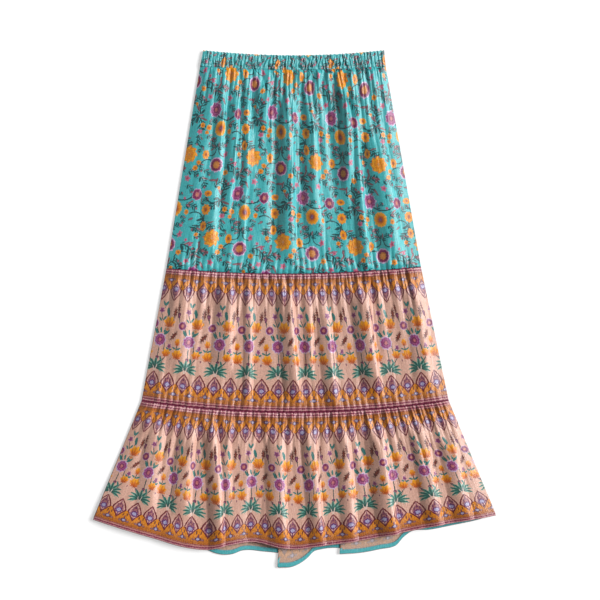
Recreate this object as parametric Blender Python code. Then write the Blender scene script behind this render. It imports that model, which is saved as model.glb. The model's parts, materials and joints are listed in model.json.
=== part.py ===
"""Maxi skirt of three gathered tiers under a shirred elastic waistband, laid flat on its back panels.

The scene is in metres and the sizes below are in millimetres. +Y points to the waist, +X across the
skirt and +Z up, away from the surface. The origin is the middle of the footprint, on the surface.
Each panel is a grid between two seam lines. Its underside is the height of what it lies on, plus its
puff, its broad folds and its gathers, and the cloth's thickness is added above.
"""

from collections import namedtuple

import bmesh
import bpy
import numpy as np

MM = 0.001

# Cloth
WALL = 1.5
BAND_WALL = 2.4  # two layers of cloth round an elastic
TURNUP_WALL = 1.0
GAP = 0.3  # at seams, and where one piece lies on another

# How far the laid cloth stands up
BACK_LIFT = 2.2  # room for the back panels' relief
HEM_LIFT = 3.6  # more room over the pleats and the turn-up at the back hem
HEM_ZONE = 110.0  # how far up the back the pleats reach
PUFF = 3.0  # air between the front and the back
EDGE_ROLL = 26.0  # width over which a front panel rounds down to the back panel

Seam = namedtuple("Seam", "left_x left_y middle_y right_x right_y")
WAIST = Seam(left_x=-168, left_y=476.5, middle_y=467, right_x=165, right_y=476.5)
BAND = Seam(left_x=-174, left_y=447, middle_y=440, right_x=168, right_y=447)
UPPER = Seam(left_x=-236, left_y=75, middle_y=65, right_x=233, right_y=78)
LOWER = Seam(left_x=-282, left_y=-169, middle_y=-190, right_x=284, right_y=-168)
HEM_LEFT_X = -371
HEM_RIGHT_X = 371

# The front hem's line, which rises where a hollow between two folds draws it up
HemPoint = namedtuple("HemPoint", "x y")
FRONT_HEM = (
    HemPoint(HEM_LEFT_X, -388),
    HemPoint(-266, -420),
    HemPoint(-192, -440),
    HemPoint(-159, -443),
    HemPoint(-122, -435),
    HemPoint(-75, -429),
    HemPoint(-23, -440),
    HemPoint(0, -442),
    HemPoint(47, -436),
    HemPoint(89, -431),
    HemPoint(174, -416),
    HemPoint(249, -401),
    HemPoint(HEM_RIGHT_X, -380),
)

# The back hem in stretches between pleats. Each is a shallow arc, and its lift is how high it lies at
# either end: where a stretch ends low and the next begins high, the next one overlaps it.
Stretch = namedtuple("Stretch", "left right left_y middle_y right_y left_lift right_lift")
BACK_HEM = (
    Stretch(HEM_LEFT_X, -159, -385, -418, -445, 0.0, 0.8),
    Stretch(-159, -93, -445, -453, -445.5, 0.8, 1.2),
    Stretch(-93, -31, -445.5, -446.5, -450, 1.2, 0.0),
    Stretch(-31, 36, -476.5, -472, -447, 2.8, 1.2),
    Stretch(36, 83, -445, -442.5, -441, 1.2, 0.0),
    Stretch(83, 216, -451, -444, -410, 2.8, 0.0),
    Stretch(216, HEM_RIGHT_X, -410, -399, -377, 0.0, 0.0),
)
PLEAT_STEP = 1.2  # how wide the step at a pleat's edge is

# Broad soft folds of the front, each a ridge (or, with a negative height, a hollow) along a line.
# The left and right flanks have their own widths, because a fold leans.
Fold = namedtuple("Fold", "top_x top_y end_x end_y left_width right_width height")
FRONT_FOLDS = (
    # upper tier
    Fold(-132, 425, -141, 228, 9, 8, 3.5),
    Fold(-106, 410, -124, 178, 9, 7, 4.0),
    Fold(-86, 425, -97, 118, 6, 6, 3.0),
    Fold(-52, 425, -56, 250, 12, 9, 5.0),
    Fold(-8, 435, -8, 90, 14, 11, 5.0),
    Fold(29, 390, 43, 130, 15, 12, 5.0),
    Fold(84, 435, 98, 228, 8, 9, 5.5),
    Fold(106, 390, 135, 50, 9, 9, 5.0),
    Fold(144, 346, 194, 90, 16, 12, 7.0),
    Fold(-150, 240, -158, 90, 14, 12, 4.0),
    Fold(-36, 400, -41, 118, 8, 8, -2.5),
    Fold(13, 435, 14, 210, 9, 8, -3.0),
    Fold(62, 400, 78, 190, 10, 10, -2.0),
    # middle tier
    Fold(-205, 60, -214, -120, 16, 16, 3.0),
    Fold(-124, 62, -128, -110, 18, 13, 5.0),
    Fold(-86, 60, -87, -186, 7, 7, 3.0),
    Fold(-14, 60, 3, -165, 14, 11, 6.5),
    Fold(21, 45, 28, -120, 7, 7, 3.0),
    Fold(54, 20, 74, -186, 11, 10, 4.0),
    Fold(124, 55, 150, -150, 16, 12, 7.0),
    Fold(222, 60, 240, -140, 15, 14, 4.0),
    # lower tier
    Fold(-248, -195, -272, -372, 15, 15, 3.5),
    Fold(-190, -205, -205, -380, 15, 13, 5.0),
    Fold(-156, -185, -139, -440, 12, 10, 6.5),
    Fold(-122, -185, -124, -350, 9, 8, 3.0),
    Fold(-62, -200, -78, -440, 17, 16, -4.0),
    Fold(-32, -215, -24, -440, 15, 13, 5.0),
    Fold(25, -195, 46, -440, 12, 11, 5.5),
    Fold(84, -190, 104, -435, 11, 12, 4.5),
    Fold(150, -200, 182, -430, 17, 13, 8.0),
    Fold(226, -195, 262, -405, 14, 13, 4.5),
    Fold(282, -225, 318, -395, 15, 13, 4.0),
)

# Gathers under a seam: how many cross the panel, how high the highest stands, and the distance over
# which they fade. With the ribs of the waistband's two halves there are 198.
Gather = namedtuple("Gather", "count height reach")
FRONT_GATHERS = {
    "tier1": Gather(count=16, height=4.0, reach=150.0),
    "tier2": Gather(count=28, height=4.2, reach=52.0),
    "tier3": Gather(count=34, height=4.2, reach=50.0),
}
BACK_GATHERS = {
    "tier1": Gather(count=12, height=1.8, reach=120.0),
    "tier2": Gather(count=14, height=1.8, reach=60.0),
    "tier3": Gather(count=18, height=1.8, reach=50.0),
}
FLATTENED = 0.45  # what the cloth's weight presses out of the back's gathers
SHIRR_COUNT = 38  # upright ribs across each half of the waistband
SHIRR_HEIGHT = 1.7
STEPS_PER_GATHER = 4

# Distances down a panel, as shares of its depth, at which its grid has rows
FRONT_ROWS = {
    "tier1": (0.0, 0.022, 0.065, 0.14, 0.27, 0.45, 0.65, 0.85, 1.0),
    "tier2": (0.0, 0.035, 0.11, 0.27, 0.6, 1.0),
    "tier3": (0.0, 0.035, 0.11, 0.27, 0.6, 1.0),
}
TURNUP_TOP = 0.965  # 9 mm above the back hem, where the turned-up edge ends
BACK_ROWS = {
    "tier1": (0.0, 0.025, 0.12, 0.35, 0.7, 1.0),
    "tier2": (0.0, 0.04, 0.15, 0.5, 1.0),
    "tier3": (0.0, 0.04, 0.15, 0.45, 0.75, TURNUP_TOP, 1.0),
}
BAND_ROWS = (0.0, 0.5, 1.0)

# Colours (linear) and roughness: viscose with a soft sheen
TEAL = (0.125, 0.571, 0.559)
PEACH = (0.763, 0.51, 0.361)
TEAL_INSIDE = (0.4, 0.65, 0.64)
PEACH_INSIDE = (0.8, 0.62, 0.5)
CLOTH_ROUGHNESS = 0.62


def smooth(share):
    """An S-shaped rise from 0 to 1 as share goes from 0 to 1."""
    share = np.clip(share, 0.0, 1.0)
    return share * share * (3.0 - 2.0 * share)


def arc(left_y, middle_y, right_y, share):
    """A parabola through three heights, at share 0, 0.5 and 1."""
    sag = middle_y - (left_y + right_y) / 2.0
    return left_y + (right_y - left_y) * share + sag * 4.0 * share * (1.0 - share)


def curve_through(points, x):
    """A cubic Hermite curve through the points, with the slope at each taken from its neighbours."""
    xs = np.array([point.x for point in points], float)
    ys = np.array([point.y for point in points], float)
    slopes = np.gradient(ys, xs)
    span = np.clip(np.searchsorted(xs, x) - 1, 0, len(xs) - 2)
    width = xs[span + 1] - xs[span]
    share = np.clip((x - xs[span]) / width, 0.0, 1.0)
    rise = smooth(share)
    start = share * (1.0 - share) ** 2 * slopes[span]
    end = -(share**2) * (1.0 - share) * slopes[span + 1]
    return ys[span] + (ys[span + 1] - ys[span]) * rise + (start + end) * width


def seam_line(seam, across):
    """Points of a seam at shares of its width."""
    x = seam.left_x + (seam.right_x - seam.left_x) * across
    return x, arc(seam.left_y, seam.middle_y, seam.right_y, across)


def front_hem_line(across):
    x = HEM_LEFT_X + (HEM_RIGHT_X - HEM_LEFT_X) * across
    return x, curve_through(FRONT_HEM, x)


def stretch_at(x):
    """For each x, the values of its stretch of back hem and its share of the way along it."""
    starts = np.array([stretch.left for stretch in BACK_HEM], float)
    number = np.clip(np.searchsorted(starts, x, side="right") - 1, 0, len(BACK_HEM) - 1)
    here = Stretch(*np.moveaxis(np.array(BACK_HEM, float)[number], -1, 0))
    share = np.clip((x - here.left) / (here.right - here.left), 0.0, 1.0)
    return here, share


def back_hem_line(across):
    x = HEM_LEFT_X + (HEM_RIGHT_X - HEM_LEFT_X) * across
    here, share = stretch_at(x)
    return x, arc(here.left_y, here.middle_y, here.right_y, share)


def pleat_lift(across, from_hem):
    """How high the overlapping pleats hold the back panel, fading up from the hem."""
    here, share = stretch_at(HEM_LEFT_X + (HEM_RIGHT_X - HEM_LEFT_X) * across)
    lift = here.left_lift + (here.right_lift - here.left_lift) * share
    return lift * smooth(1.0 - from_hem / HEM_ZONE)


def uneven(share):
    """Moves shares of a width slightly to and fro, so that gathers aren't evenly spaced."""
    wander = 0.006 * np.sin(31.0 * share + 1.0) + 0.0035 * np.sin(67.0 * share + 2.0)
    return share + wander * np.sin(np.pi * share)


def columns_for(count):
    """Shares of the gathers' run at which a grid has columns: crest, trough and halfway between."""
    return np.linspace(0.0, 1.0, count * STEPS_PER_GATHER + 1)


def gather_height(gather, run, depth):
    """Rounded crests across the run. Each has its own height, and fades over its own distance."""
    turns = gather.count * run
    crest = 0.5 - 0.5 * np.cos(2.0 * np.pi * turns)
    number = np.minimum(np.floor(turns), gather.count - 1)
    own_height = 0.76 + 0.24 * np.sin(2.4 * number + 1.0)
    own_reach = gather.reach * (1.0 + 0.55 * np.sin(1.7 * number + 0.5))
    fade = (0.35 + 0.65 * smooth(depth / 9.0)) * np.exp(-depth / own_reach)
    return gather.height * own_height * crest * fade


def fold_height(x, y):
    """The sum of the front's broad folds, each a ridge with a rounded section and soft ends."""
    total = np.zeros_like(x)
    for fold in FRONT_FOLDS:
        along = (fold.top_y - y) / (fold.top_y - fold.end_y)
        ridge_x = fold.top_x + (fold.end_x - fold.top_x) * along
        width = np.where(x < ridge_x, fold.left_width, fold.right_width)
        ends = smooth(along / 0.25) * smooth((1.0 - along) / 0.25 + 0.35)
        ends = np.where((along < 0.0) | (along > 1.12), 0.0, ends)
        total += fold.height * ends * np.exp(-(((x - ridge_x) / width) ** 2))
    return total


def side_distance(across, left_x, right_x):
    """Distance to the nearer side of the skirt."""
    return np.minimum(across, 1.0 - across) * (right_x - left_x)


def rounded_side(distance):
    """0 at the side of a panel and 1 from EDGE_ROLL inwards, like the round of a folded tube."""
    return np.sin(np.pi / 2.0 * np.clip(distance / EDGE_ROLL, 0.0, 1.0))


def back_top(distance, from_hem):
    """A height that nothing of the back reaches, which the front lies on."""
    over_hem = HEM_LIFT * smooth(1.15 - from_hem / HEM_ZONE)
    return WALL + BACK_LIFT * smooth(distance / EDGE_ROLL) + over_hem


def panel_between(top, bottom, run, rows):
    """Grids of across, x, y and depth for a panel between two lines, half a gap inside each."""
    down, run = np.meshgrid(np.array(rows), run, indexing="ij")
    across = uneven(run)
    top_x, top_y = top(across)
    bottom_x, bottom_y = bottom(across)
    top_y = top_y - GAP / 2.0
    bottom_y = bottom_y + GAP / 2.0
    x = top_x + (bottom_x - top_x) * down
    y = top_y + (bottom_y - top_y) * down
    return run, across, x, y, top_y - y


def cloth_material(name, colour):
    material = bpy.data.materials.new(name)
    material.use_nodes = True
    shader = material.node_tree.nodes["Principled BSDF"]
    shader.inputs["Base Color"].default_value = (*colour, 1.0)
    shader.inputs["Roughness"].default_value = CLOTH_ROUGHNESS
    material.diffuse_color = (*colour, 1.0)
    return material


def add_wall(name, x, y, under, wall, material, collection):
    """A closed solid: a grid laid at the underside's heights, with its copy one wall above it."""
    rows, columns = x.shape
    shape = bmesh.new()
    bmesh.ops.create_grid(shape, x_segments=columns - 1, y_segments=rows - 1, size=1.0)
    # The grid's vertices run across row by row from its lowest y, so the panel's last row comes first.
    points = np.stack([x[::-1], y[::-1], under[::-1]], axis=-1).reshape(-1, 3) * MM
    for vertex, point in zip(shape.verts, points):
        vertex.co = point
    raised = bmesh.ops.extrude_face_region(shape, geom=shape.faces[:])
    tops = [item for item in raised["geom"] if isinstance(item, bmesh.types.BMVert)]
    bmesh.ops.translate(shape, verts=tops, vec=(0.0, 0.0, wall * MM))
    bmesh.ops.recalc_face_normals(shape, faces=shape.faces)
    mesh = bpy.data.meshes.new(name)
    shape.to_mesh(mesh)
    shape.free()
    mesh.shade_smooth()
    mesh.materials.append(material)
    collection.objects.link(bpy.data.objects.new(name, mesh))


def front_under(name, run, across, x, y, depth, left_x, right_x, from_hem):
    """The underside of a front panel: what it lies on, its puff, folds and gathers."""
    distance = side_distance(across, left_x, right_x)
    relief = PUFF + fold_height(x, y) + gather_height(FRONT_GATHERS[name], run, depth)
    # A seam holds its cloth down a little.
    relief = relief * (0.55 + 0.45 * smooth(depth / 14.0))
    relief = np.maximum(relief, 0.0) * rounded_side(distance)
    return back_top(distance, from_hem) + GAP + relief


def back_under(name, run, across, depth, left_x, right_x, from_hem):
    """The underside of a back panel: on the surface, but raised in shallow gathers and pleats."""
    distance = side_distance(across, left_x, right_x)
    relief = gather_height(BACK_GATHERS[name], run, depth) - FLATTENED
    relief = np.maximum(relief, 0.0) * smooth(distance / EDGE_ROLL)
    return relief + pleat_lift(across, from_hem)


def back_columns(count):
    """The back hem's columns: the gathers' own, and a close pair at each pleat's edge."""
    columns = columns_for(count)
    hem_x = HEM_LEFT_X + (HEM_RIGHT_X - HEM_LEFT_X) * uneven(columns)
    edges = [stretch.left for stretch in BACK_HEM[1:]]
    apart = np.min(np.abs(hem_x[:, None] - np.array(edges)), axis=1)
    columns = columns[apart > 2.0 * PLEAT_STEP]
    close = np.array([edge + side * PLEAT_STEP / 2.0 for edge in edges for side in (-1.0, 1.0)])
    close = (close - HEM_LEFT_X) / (HEM_RIGHT_X - HEM_LEFT_X)
    fine = np.linspace(0.0, 1.0, 20001)
    return np.sort(np.concatenate([columns, np.interp(close, uneven(fine), fine)]))


def front_panel(name, top, bottom_line):
    """Grids of x, y and underside of a tier's front."""
    run = columns_for(FRONT_GATHERS[name].count)
    run, across, x, y, depth = panel_between(
        lambda share: seam_line(top, share), bottom_line, run, FRONT_ROWS[name]
    )
    from_hem = y - front_hem_line(across)[1]
    under = front_under(name, run, across, x, y, depth, top.left_x, top.right_x, from_hem)
    return x, y, under


def back_panel(name, top, bottom_line):
    """Grids of x, y and underside of a tier's back."""
    count = BACK_GATHERS[name].count
    run = back_columns(count) if bottom_line is back_hem_line else columns_for(count)
    run, across, x, y, depth = panel_between(
        lambda share: seam_line(top, share), bottom_line, run, BACK_ROWS[name]
    )
    from_hem = y - back_hem_line(across)[1]
    under = back_under(name, run, across, depth, top.left_x, top.right_x, from_hem)
    return x, y, under


def turned_up(x, y, under):
    """The strip on the lowest back panel's inside, from the panel's own last two rows moved up."""
    strip = np.s_[-2:, 1:-1]
    return x[strip], y[strip], under[strip] + WALL + GAP


def build_waistband(side, collection, material):
    """One half of the elastic casing, shirred into upright ribs that bulge between its edges."""
    run = columns_for(SHIRR_COUNT)
    run, across, x, y, depth = panel_between(
        lambda share: seam_line(WAIST, share), lambda share: seam_line(BAND, share), run, BAND_ROWS
    )
    number = np.minimum(np.floor(SHIRR_COUNT * run), SHIRR_COUNT - 1)
    crest = 0.5 - 0.5 * np.cos(2.0 * np.pi * SHIRR_COUNT * run)
    bulge = 0.45 + 0.55 * np.sin(np.pi * np.clip(depth / depth.max(), 0.0, 1.0))
    relief = SHIRR_HEIGHT * (0.8 + 0.2 * np.sin(2.4 * number)) * crest * bulge
    distance = side_distance(across, BAND.left_x, BAND.right_x)
    under = relief * smooth(distance / EDGE_ROLL)
    if side == "front":
        under = under + BAND_WALL + SHIRR_HEIGHT * smooth(distance / EDGE_ROLL) + GAP
    add_wall(f"waistband_{side}", x, y, under, BAND_WALL, material, collection)


def main():
    for leftover in list(bpy.data.objects):
        bpy.data.objects.remove(leftover)
    collection = bpy.data.collections.new("maxi_skirt")
    bpy.context.scene.collection.children.link(collection)
    teal = {
        "front": cloth_material("teal_floral_viscose", TEAL),
        "back": cloth_material("teal_floral_inside", TEAL_INSIDE),
    }
    border = {
        "front": cloth_material("border_print_viscose", PEACH),
        "back": cloth_material("border_print_inside", PEACH_INSIDE),
    }
    for side in ("front", "back"):
        build_waistband(side, collection, teal[side])
    tiers = (
        ("tier1", BAND, lambda share: seam_line(UPPER, share), None, teal),
        ("tier2", UPPER, lambda share: seam_line(LOWER, share), None, border),
        ("tier3", LOWER, front_hem_line, back_hem_line, border),
    )
    for name, top, bottom_line, back_bottom, materials in tiers:
        front = front_panel(name, top, bottom_line)
        add_wall(f"{name}_front", *front, WALL, materials["front"], collection)
        back = back_panel(name, top, back_bottom or bottom_line)
        add_wall(f"{name}_back", *back, WALL, materials["back"], collection)
    turnup_material = cloth_material("turned_up_hem", TEAL)
    add_wall("hem_turnup_back", *turned_up(*back), TURNUP_WALL, turnup_material, collection)


main()
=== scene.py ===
"""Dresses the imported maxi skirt: cloth shells with folds and gathers, printed viscose and sewing.

Sizes are in millimetres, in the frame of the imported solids: +Y to the waist, +X across the skirt,
+Z up from the surface that it lies on. Each panel is a grid of two parameters, the run across the
cut cloth and the way down it, and its UV map holds the print's own place in millimetres of flat
cloth.
"""

import json
import math
from collections import namedtuple
from functools import cache, partial

import bpy
import numpy as np
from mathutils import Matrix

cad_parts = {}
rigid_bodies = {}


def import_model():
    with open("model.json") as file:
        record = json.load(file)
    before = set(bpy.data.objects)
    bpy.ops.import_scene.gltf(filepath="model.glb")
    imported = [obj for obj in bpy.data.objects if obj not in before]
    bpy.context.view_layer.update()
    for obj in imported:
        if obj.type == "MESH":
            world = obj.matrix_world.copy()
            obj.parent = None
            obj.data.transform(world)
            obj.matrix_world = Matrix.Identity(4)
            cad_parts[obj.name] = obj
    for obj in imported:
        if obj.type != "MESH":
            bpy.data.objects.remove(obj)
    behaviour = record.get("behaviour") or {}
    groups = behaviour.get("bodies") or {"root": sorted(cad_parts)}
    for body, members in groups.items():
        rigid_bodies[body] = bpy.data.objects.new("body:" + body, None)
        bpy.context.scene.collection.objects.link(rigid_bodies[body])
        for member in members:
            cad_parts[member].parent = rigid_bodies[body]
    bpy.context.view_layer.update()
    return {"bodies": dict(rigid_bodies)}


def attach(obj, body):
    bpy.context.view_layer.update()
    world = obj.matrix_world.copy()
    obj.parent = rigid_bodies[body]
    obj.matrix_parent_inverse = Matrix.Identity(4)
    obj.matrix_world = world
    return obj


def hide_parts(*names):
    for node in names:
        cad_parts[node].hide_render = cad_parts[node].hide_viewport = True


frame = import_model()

bl_info = {
    "name": "Tiered maxi skirt",
    "version": (1, 0, 0),
    "blender": (4, 5, 0),
    "location": "View3D > Sidebar > Skirt",
    "description": "Builds the cloth, print and sewing of a gathered three-tier skirt laid flat",
    "category": "Object",
}

MM = 0.001
BODY = next(iter(frame["bodies"]))
UV_NAME = "cloth_mm"

# ---- Sizes of the garment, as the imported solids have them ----

Seam = namedtuple("Seam", "left_x left_y middle_y right_x right_y")
WAIST = Seam(left_x=-168, left_y=476.5, middle_y=467, right_x=165, right_y=476.5)
BAND = Seam(left_x=-174, left_y=447, middle_y=440, right_x=168, right_y=447)
UPPER = Seam(left_x=-236, left_y=75, middle_y=65, right_x=233, right_y=78)
LOWER = Seam(left_x=-282, left_y=-169, middle_y=-190, right_x=284, right_y=-168)
HEM_LEFT_X = -371
HEM_RIGHT_X = 371

# Points of the front hem, each x and y
FRONT_HEM = (
    (HEM_LEFT_X, -388), (-266, -420), (-192, -440), (-159, -443), (-122, -435), (-75, -429),
    (-23, -440), (0, -442), (47, -436), (89, -431), (174, -416), (249, -401), (HEM_RIGHT_X, -380),
)

# The back hem's path along the cloth, each x, y and lift. Where x runs backwards, the cloth folds
# over itself in a pleat, and the lift keeps its layers apart.
BACK_HEM = (
    (HEM_LEFT_X, -385, 0.0), (-266, -414, 0.0), (-192, -434, 0.3), (-160, -445, 1.0),
    (-147, -450, 1.8), (-130, -453, 2.4), (-113, -451.5, 2.2), (-97, -445.5, 1.2),
    (-85, -444.5, 0.5), (-60, -447, 0.2), (-31, -450, 0.2), (-20, -452, 0.4),
    (-26, -462, 1.7), (-31, -476, 3.1), (-20, -476.5, 3.3), (-8, -476, 3.1),
    (10, -469, 2.4), (25, -458, 1.8), (36, -447, 1.2), (50, -443, 0.8),
    (83, -441, 0.3), (95, -443, 0.4), (90, -447, 1.6), (83, -451, 2.9),
    (98, -451, 2.9), (125, -449, 2.0), (157, -443, 1.4), (187, -436, 0.9),
    (201, -421, 0.6), (216, -410, 0.4), (249, -407, 0.2), (290, -399, 0.1),
    (347, -386, 0.0), (HEM_RIGHT_X, -377, 0.0),
)

# The solids' own levels, which the shells keep to: their walls, the gap between two of them, how
# far the back rises inwards from its sides and towards its hem, and the air under the front
SOLID_WALL = 1.5
BAND_SOLID_WALL = 2.4
GAP = 0.3
BACK_LIFT = 2.2
HEM_LIFT = 3.6
HEM_ZONE = 110.0
PUFF = 3.0
EDGE_ROLL = 26.0

# How far a crest leans to the right, and how far it draws the print to its seam, by its height. The
# draw dies out over its reach, and the seams press the relief down over theirs.
FOLD_LEAN = 0.35
GATHER_LEAN = 0.2
GATHER_PULL = 0.3
PULL_REACH = 14.0
SEAM_REACH = 9.0

# Broad soft folds of the front, each a ridge along a line, or a hollow where its height is
# negative. All widths and heights are multiplied by two shares, and the reach is how far a ridge's
# left and right flanks go, in widths.
Fold = namedtuple("Fold", "top_x top_y end_x end_y left_width right_width height")
FOLD_WIDTHS = 0.88
FOLD_HEIGHTS = 1.7
LEFT_REACH = 1.8
RIGHT_REACH = 1.35
FRONT_FOLDS = (
    # upper tier
    (-132, 425, -141, 228, 9, 8, 3.5),
    (-106, 410, -124, 178, 9, 7, 4.0),
    (-86, 425, -97, 118, 6, 6, 3.0),
    (-52, 425, -56, 330, 12, 9, 4.0),
    (-8, 435, -8, 90, 14, 11, 5.0),
    (29, 390, 43, 130, 15, 12, 5.0),
    (84, 435, 98, 228, 8, 9, 5.5),
    (106, 390, 135, 50, 9, 9, 5.0),
    (140, 356, 184, 85, 18, 18, 6.2),
    (-150, 240, -158, 90, 14, 12, 4.0),
    (-36, 400, -41, 118, 8, 8, -2.5),
    (13, 435, 14, 210, 9, 8, -3.0),
    (62, 400, 78, 190, 10, 10, -2.0),
    # middle tier
    (-205, 60, -214, -120, 16, 16, 3.0),
    (-124, 62, -128, -110, 18, 13, 5.0),
    (-86, 60, -87, -186, 7, 7, 3.0),
    (-14, 60, 3, -165, 14, 11, 6.5),
    (21, 45, 28, -120, 7, 7, 3.0),
    (54, 20, 74, -186, 11, 10, 4.0),
    (124, 55, 150, -150, 16, 12, 7.0),
    (222, 60, 240, -140, 15, 14, 4.0),
    # lower tier
    (-248, -195, -272, -372, 15, 15, 3.5),
    (-190, -205, -205, -380, 15, 13, 5.0),
    (-156, -185, -139, -440, 12, 10, 6.5),
    (-122, -185, -124, -350, 9, 8, 3.0),
    (-62, -200, -78, -440, 17, 16, -4.0),
    (-32, -215, -24, -440, 15, 13, 5.0),
    (25, -195, 46, -440, 12, 11, 5.5),
    (84, -190, 104, -435, 11, 12, 4.5),
    (150, -200, 182, -430, 17, 13, 7.2),
    (226, -195, 262, -405, 14, 13, 4.5),
    (282, -225, 318, -395, 15, 13, 4.0),
)

# Gathers under a seam, with the finer puckers between them, and their number for each half. Crests,
# creases and puckers add up by these shares of the gather's height.
Gather = namedtuple("Gather", "count height reach puckers")
SHIRRS = Gather(count=52, height=1.7, reach=0.0, puckers=118)
CREST_SHARE = 1.35
CREASE_SHARE = 0.62
PUCKER_SHARE = 0.38
PUCKER_REACH = 13.0
CREASES_TO_CREST = 2.3
SEAM_POWER = 0.8
LOWER_POWER = 1.15

# The channel that the waistband's line of stitches draws in, by its share of the way down
CHANNEL_SHARE = 0.86
CHANNEL_WIDTH = 0.05
CHANNEL_DEPTH = 0.2

# Where a place of the print, counted across the cloth, meets the top and the lower end of a panel.
# On the border print they are a repeat apart, and the rows give the two ends alone.
Mark = namedtuple("Mark", "print_x top_x end_x")
MARKS_BEYOND = 120.0
TEAL_START = -131
TEAL_MARKS = (Mark(TEAL_START, -174, -236), Mark(327, 168, 221), Mark(357, 190, 251))
BORDER_REPEAT = 58.4


def repeat_marks(first, *ends):
    """Marks one repeat of the border print apart, the first of them that many from its middle."""
    return tuple(Mark((first + step) * BORDER_REPEAT, *end) for step, end in enumerate(ends))


MIDDLE_MARKS = repeat_marks(
    -6,
    (-269, -328), (-222, -270), (-177, -211), (-125, -153), (-73, -95), (-32, -29), (14, 23),
    (61, 76), (103, 132), (149, 186), (195, 241), (241, 296),
)
LOWER_MARKS = repeat_marks(
    -6,
    (-301, -424), (-264, -365), (-229, -305), (-198, -244), (-158, -198), (-126, -130), (-77, -79),
    (-26, -33), (25, 25), (71, 71), (111, 138), (160, 196), (199, 268), (243, 327), (286, 387),
)

# A tier's cut is the flat width and length of one half. Tugs is the number of short creases over
# its lower seam, all of one height and reach. The print starts drop down the cut, and lies lower by
# lag at the right side. The grid is the front's columns and rows.
Tier = namedtuple(
    "Tier",
    "name top bottom cut_width cut_length slot front_gather back_gather tugs drop lag marks grid",
)
TIER_1 = Tier(
    "tier1", BAND, UPPER, 470, 378, "teal_floral",
    Gather(18, 4.4, 150.0, 74), Gather(12, 1.8, 120.0, 40), 44, 28, 19, TEAL_MARKS, (460, 104),
)
TIER_2 = Tier(
    "tier2", UPPER, LOWER, 600, 256, "border_print",
    Gather(30, 4.6, 60.0, 112), Gather(14, 1.8, 60.0, 50), 50, 0, 0, MIDDLE_MARKS, (530, 90),
)
TIER_3 = Tier(
    "tier3", LOWER, None, 800, 262, "border_print",
    Gather(36, 4.8, 58.0, 130), Gather(18, 1.8, 50.0, 60), 0, 0, 0, LOWER_MARKS, (600, 80),
)
TUG_HEIGHT = 3.0
TUG_REACH = 26.0
BAND_CUT_WIDTH = 460
BAND_DEPTH = 28

# The print is turned under at both hems by this much. The back's turn-up shows this high, and was
# cut a little higher.
TURNED_UNDER = 2.6
TURNUP_HEIGHT = 9.0

# A panel's outer face: its points, the share of the way down and the print's two places, all grids
Surface = namedtuple("Surface", "x y z down print_x print_y")


# ---- Shapes ----


def smooth(share):
    """An S-shaped rise from 0 to 1: three times the square less twice the cube of the share."""
    share = np.clip(share, 0.0, 1.0)
    return share * share * (3.0 - 2.0 * share)


def arc(left_y, middle_y, right_y, share):
    """A parabola through three heights, at share 0, 0.5 and 1."""
    sag = middle_y - (left_y + right_y) / 2.0
    return left_y + (right_y - left_y) * share + sag * 4.0 * share * (1.0 - share)


def hermite(knots, values, at):
    """A cubic through the values at the knots, each slope taken from the two neighbours."""
    slopes = np.gradient(values, knots)
    span = np.clip(np.searchsorted(knots, at) - 1, 0, len(knots) - 2)
    width = knots[span + 1] - knots[span]
    share = np.clip((at - knots[span]) / width, 0.0, 1.0)
    rise = smooth(share)
    start = share * (1.0 - share) ** 2 * slopes[span]
    end = -(share**2) * (1.0 - share) * slopes[span + 1]
    return values[span] + (values[span + 1] - values[span]) * rise + (start + end) * width


def seam_line(seam, across):
    """Straight across in x, and a parabola in y through the seam's ends and middle."""
    x = seam.left_x + (seam.right_x - seam.left_x) * across
    return x, arc(seam.left_y, seam.middle_y, seam.right_y, across)


def front_hem_line(across):
    """Straight across in x, and a cubic through the hem's points in y."""
    x = HEM_LEFT_X + (HEM_RIGHT_X - HEM_LEFT_X) * across
    knots, heights = np.array(FRONT_HEM, float).T
    return x, hermite(knots, heights, x)


def back_hem_path(run):
    """x, y and lift at shares of the hem's own length, on cubics through the path's points."""
    columns = np.array(BACK_HEM, float).T
    steps = np.hypot(np.diff(columns[0]), np.diff(columns[1]))
    knots = np.concatenate([[0.0], np.cumsum(steps)]) / steps.sum()
    return tuple(hermite(knots, column, run) for column in columns)


def uneven(share):
    """A share moved to and fro by two sines that die out at its ends, so gathers aren't even."""
    wander = 0.006 * np.sin(31.0 * share + 1.0) + 0.0035 * np.sin(67.0 * share + 2.0)
    return share + wander * np.sin(np.pi * share)


def scatter(number, seed):
    """A fixed value from 0 to 1 for each whole number: the fraction of a large sine."""
    return np.abs(np.sin(number * 12.9898 + seed * 78.233) * 43758.5453) % 1.0


def waves(count, run, depth, reach, sharp_depth, seed):
    """Crests from 0 to 1 across the run: a sine's size to a power, with sharp creases between them.

    The power rises from the seam down to sharp_depth, so crests are fullest beside the seam. Each
    has its own height, fades over its own distance and drifts sideways on its way down.
    """
    depth = np.maximum(depth, 0.0)
    drift = 0.3 * np.sin(depth / 34.0 + 9.0 * run + seed) * smooth(depth / 30.0)
    turns = count * uneven(run) + drift * np.sin(np.pi * run)
    number = np.floor(turns)
    full = np.abs(np.sin(np.pi * turns)) ** SEAM_POWER
    soft = np.abs(np.sin(np.pi * turns)) ** LOWER_POWER
    shape = full + (soft - full) * smooth(depth / sharp_depth)
    own_height = 0.4 + 0.6 * scatter(number, seed)
    own_reach = reach * (0.4 + 1.3 * scatter(number, seed + 1.0))
    return shape * own_height * np.exp(-((depth / own_reach) ** 1.15))


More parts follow.
